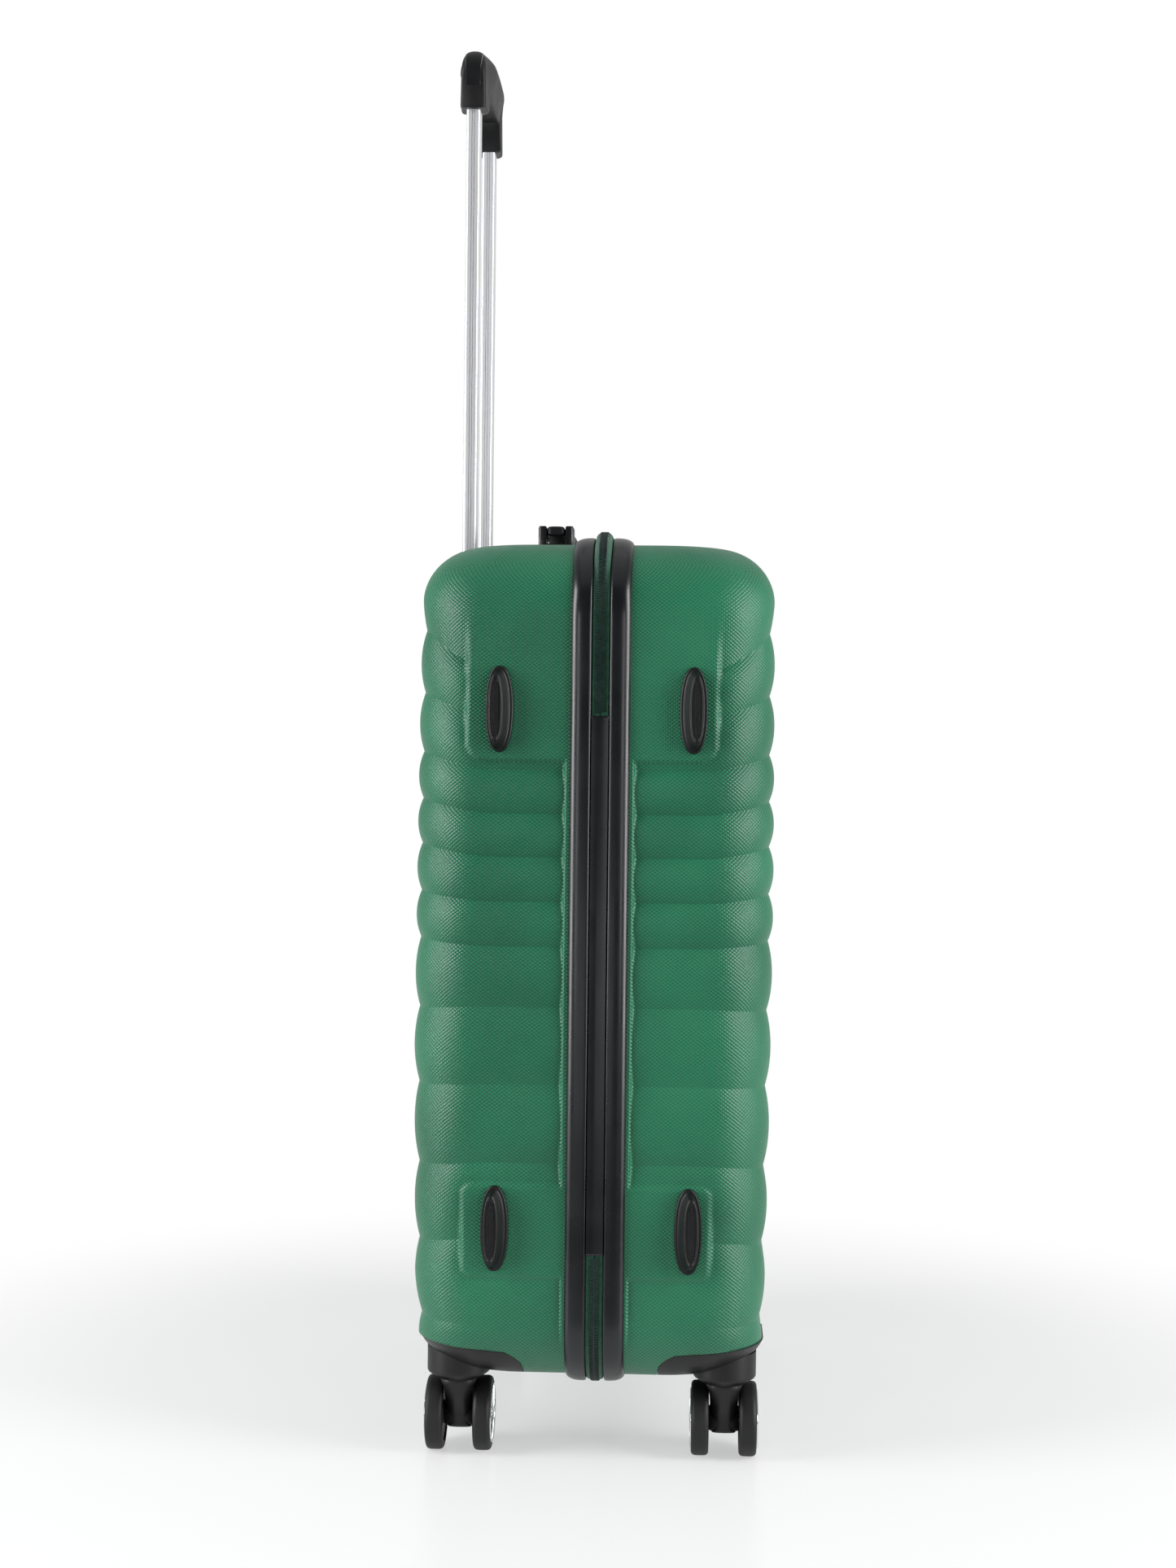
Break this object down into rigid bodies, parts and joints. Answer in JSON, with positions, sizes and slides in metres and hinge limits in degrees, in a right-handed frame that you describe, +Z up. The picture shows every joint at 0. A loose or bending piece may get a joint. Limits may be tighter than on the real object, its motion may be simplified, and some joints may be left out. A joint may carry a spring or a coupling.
{
  "type": "hard shell suitcase on wheels",
  "caption": "Upright hard shell suitcase with horizontal ribs, glossy rims, side hinge and zipper, telescopic pull handle, carry handles and swivelling double wheels.",
  "frame": {"origin": "on the floor under the seam between the two shells, midway across the width", "axes": "+Z up along the pull handle, +Y through the thickness from the front shell to the back shell that carries the pull handle, +X across the width from the hinge side to the lock side"},
  "size_m": [0.4574, 0.257, 1.051],
  "materials": {
    "shell_green": "satin, finely embossed",
    "gloss_black": "gloss",
    "satin_black": "satin",
    "zipper_tape": "matt woven tape",
    "lining_cloth": "matt woven",
    "strap_webbing": "matt ribbed",
    "soft_grip": "matt",
    "tube_metal": "brushed, anodised",
    "tyre_rubber": "matt",
    "hub_chrome": "polished"
  },
  "bodies": {
    "back_case": {"back_shell": "shell_green", "back_rim": "gloss_black", "back_zipper_half": "zipper_tape", "back_lining": "lining_cloth", "cross_straps": "strap_webbing", "strap_buckle": "satin_black", "trolley_sleeve_left": "tube_metal", "trolley_sleeve_right": "tube_metal", "trolley_foot_bracket": "satin_black", "trolley_bezel": "satin_black", "top_handle_base": "satin_black", "side_handle_base": "satin_black", "lock_body": "satin_black", "side_foot_back_lower": "gloss_black", "side_foot_back_upper": "gloss_black", "wheel_housing_back_left": "satin_black", "wheel_housing_back_right": "satin_black"},
    "hinge_strip": {"hinge_strip": "gloss_black"},
    "front_case": {"front_shell": "shell_green", "front_rim": "gloss_black", "front_zipper_half": "zipper_tape", "front_lining": "lining_cloth", "side_foot_front_lower": "gloss_black", "side_foot_front_upper": "gloss_black", "wheel_housing_front_left": "satin_black", "wheel_housing_front_right": "satin_black"},
    "trolley": {"trolley_grip": "satin_black", "trolley_tube_left": "tube_metal", "trolley_tube_right": "tube_metal"},
    "trolley_button": {"trolley_button": "gloss_black"},
    "top_handle": {"top_handle_grip": "soft_grip"},
    "side_handle": {"side_handle_grip": "soft_grip"},
    "lock_dial_1": {"lock_dial_1": "satin_black"},
    "lock_dial_2": {"lock_dial_2": "satin_black"},
    "lock_dial_3": {"lock_dial_3": "satin_black"},
    "lock_release": {"lock_release_button": "gloss_black"},
    "slider_upper": {"zipper_slider_upper": "satin_black"},
    "slider_lower": {"zipper_slider_lower": "satin_black"},
    "puller_upper": {"zipper_puller_upper": "satin_black"},
    "puller_lower": {"zipper_puller_lower": "satin_black"},
    "spinner_back_left": {"spinner_fork_back_left": "satin_black"},
    "wheel_back_left_a": {"wheel_back_left_a": "tyre_rubber", "hubcap_back_left_a": "hub_chrome"},
    "wheel_back_left_b": {"wheel_back_left_b": "tyre_rubber", "hubcap_back_left_b": "hub_chrome"},
    "spinner_back_right": {"spinner_fork_back_right": "satin_black"},
    "wheel_back_right_a": {"wheel_back_right_a": "tyre_rubber", "hubcap_back_right_a": "hub_chrome"},
    "wheel_back_right_b": {"wheel_back_right_b": "tyre_rubber", "hubcap_back_right_b": "hub_chrome"},
    "spinner_front_left": {"spinner_fork_front_left": "satin_black"},
    "wheel_front_left_a": {"wheel_front_left_a": "tyre_rubber", "hubcap_front_left_a": "hub_chrome"},
    "wheel_front_left_b": {"wheel_front_left_b": "tyre_rubber", "hubcap_front_left_b": "hub_chrome"},
    "spinner_front_right": {"spinner_fork_front_right": "satin_black"},
    "wheel_front_right_a": {"wheel_front_right_a": "tyre_rubber", "hubcap_front_right_a": "hub_chrome"},
    "wheel_front_right_b": {"wheel_front_right_b": "tyre_rubber", "hubcap_front_right_b": "hub_chrome"}
  },
  "joints": [
    {"name": "case_hinge_back", "type": "hinge", "parent": "back_case", "child": "hinge_strip", "pos_m": [-0.22, 0.0065, 0.35], "axis": [0, 0, -1], "range_deg": [0, 90]},
    {"name": "case_hinge_front", "type": "hinge", "parent": "hinge_strip", "child": "front_case", "pos_m": [-0.22, -0.0065, 0.35], "axis": [0, 0, -1], "range_deg": [0, 90]},
    {"name": "trolley_slide", "type": "slide", "parent": "back_case", "child": "trolley", "axis": [0, 0, 1], "range_m": [-0.365, 0]},
    {"name": "trolley_button_press", "type": "slide", "parent": "trolley", "child": "trolley_button", "axis": [0, 0, -1], "range_m": [0, 0.0035], "stiffness_N_per_m": 300},
    {"name": "top_handle_lift", "type": "slide", "parent": "back_case", "child": "top_handle", "axis": [0, 0, 1], "range_m": [0, 0.01], "stiffness_N_per_m": 150},
    {"name": "side_handle_lift", "type": "slide", "parent": "back_case", "child": "side_handle", "axis": [1, 0, 0], "range_m": [0, 0.01], "stiffness_N_per_m": 150},
    {"name": "lock_dial_1_turn", "type": "hinge", "parent": "back_case", "child": "lock_dial_1", "pos_m": [0.2213, 0.035, 0.531], "axis": [0, 0, 1], "continuous": true},
    {"name": "lock_dial_2_turn", "type": "hinge", "parent": "back_case", "child": "lock_dial_2", "pos_m": [0.2213, 0.035, 0.54], "axis": [0, 0, 1], "continuous": true},
    {"name": "lock_dial_3_turn", "type": "hinge", "parent": "back_case", "child": "lock_dial_3", "pos_m": [0.2213, 0.035, 0.549], "axis": [0, 0, 1], "continuous": true},
    {"name": "lock_release_press", "type": "slide", "parent": "back_case", "child": "lock_release", "axis": [-1, 0, 0], "range_m": [0, 0.0025], "stiffness_N_per_m": 300},
    {"name": "slider_upper_travel", "type": "slide", "parent": "back_case", "child": "slider_upper", "axis": [0, 0, 1], "range_m": [0, 0.05]},
    {"name": "slider_lower_travel", "type": "slide", "parent": "back_case", "child": "slider_lower", "axis": [0, 0, 1], "range_m": [-0.38, 0]},
    {"name": "puller_upper_swing", "type": "hinge", "parent": "slider_upper", "child": "puller_upper", "pos_m": [0.2272, 0, 0.552], "axis": [0, -1, 0], "range_deg": [0, 120]},
    {"name": "puller_lower_swing", "type": "hinge", "parent": "slider_lower", "child": "puller_lower", "pos_m": [0.2272, 0, 0.524], "axis": [0, -1, 0], "range_deg": [0, 120]},
    {"name": "swivel_back_left", "type": "hinge", "parent": "back_case", "child": "spinner_back_left", "pos_m": [-0.168, 0.1005, 0.065], "axis": [0, 0, 1], "continuous": true},
    {"name": "roll_back_left_a", "type": "hinge", "parent": "spinner_back_left", "child": "wheel_back_left_a", "pos_m": [-0.156, 0.083, 0.027], "axis": [0, 1, 0], "continuous": true},
    {"name": "roll_back_left_b", "type": "hinge", "parent": "spinner_back_left", "child": "wheel_back_left_b", "pos_m": [-0.156, 0.118, 0.027], "axis": [0, 1, 0], "continuous": true},
    {"name": "swivel_back_right", "type": "hinge", "parent": "back_case", "child": "spinner_back_right", "pos_m": [0.168, 0.1005, 0.065], "axis": [0, 0, 1], "continuous": true},
    {"name": "roll_back_right_a", "type": "hinge", "parent": "spinner_back_right", "child": "wheel_back_right_a", "pos_m": [0.18, 0.083, 0.027], "axis": [0, 1, 0], "continuous": true},
    {"name": "roll_back_right_b", "type": "hinge", "parent": "spinner_back_right", "child": "wheel_back_right_b", "pos_m": [0.18, 0.118, 0.027], "axis": [0, 1, 0], "continuous": true},
    {"name": "swivel_front_left", "type": "hinge", "parent": "front_case", "child": "spinner_front_left", "pos_m": [-0.168, -0.094, 0.065], "axis": [0, 0, 1], "continuous": true},
    {"name": "roll_front_left_a", "type": "hinge", "parent": "spinner_front_left", "child": "wheel_front_left_a", "pos_m": [-0.156, -0.1115, 0.027], "axis": [0, 1, 0], "continuous": true},
    {"name": "roll_front_left_b", "type": "hinge", "parent": "spinner_front_left", "child": "wheel_front_left_b", "pos_m": [-0.156, -0.0765, 0.027], "axis": [0, 1, 0], "continuous": true},
    {"name": "swivel_front_right", "type": "hinge", "parent": "front_case", "child": "spinner_front_right", "pos_m": [0.168, -0.094, 0.065], "axis": [0, 0, 1], "continuous": true},
    {"name": "roll_front_right_a", "type": "hinge", "parent": "spinner_front_right", "child": "wheel_front_right_a", "pos_m": [0.18, -0.1115, 0.027], "axis": [0, 1, 0], "continuous": true},
    {"name": "roll_front_right_b", "type": "hinge", "parent": "spinner_front_right", "child": "wheel_front_right_b", "pos_m": [0.18, -0.0765, 0.027], "axis": [0, 1, 0], "continuous": true}
  ],
  "couplings": [
    {"joint": "case_hinge_front", "follows": "case_hinge_back", "ratio": 1}
  ]
}
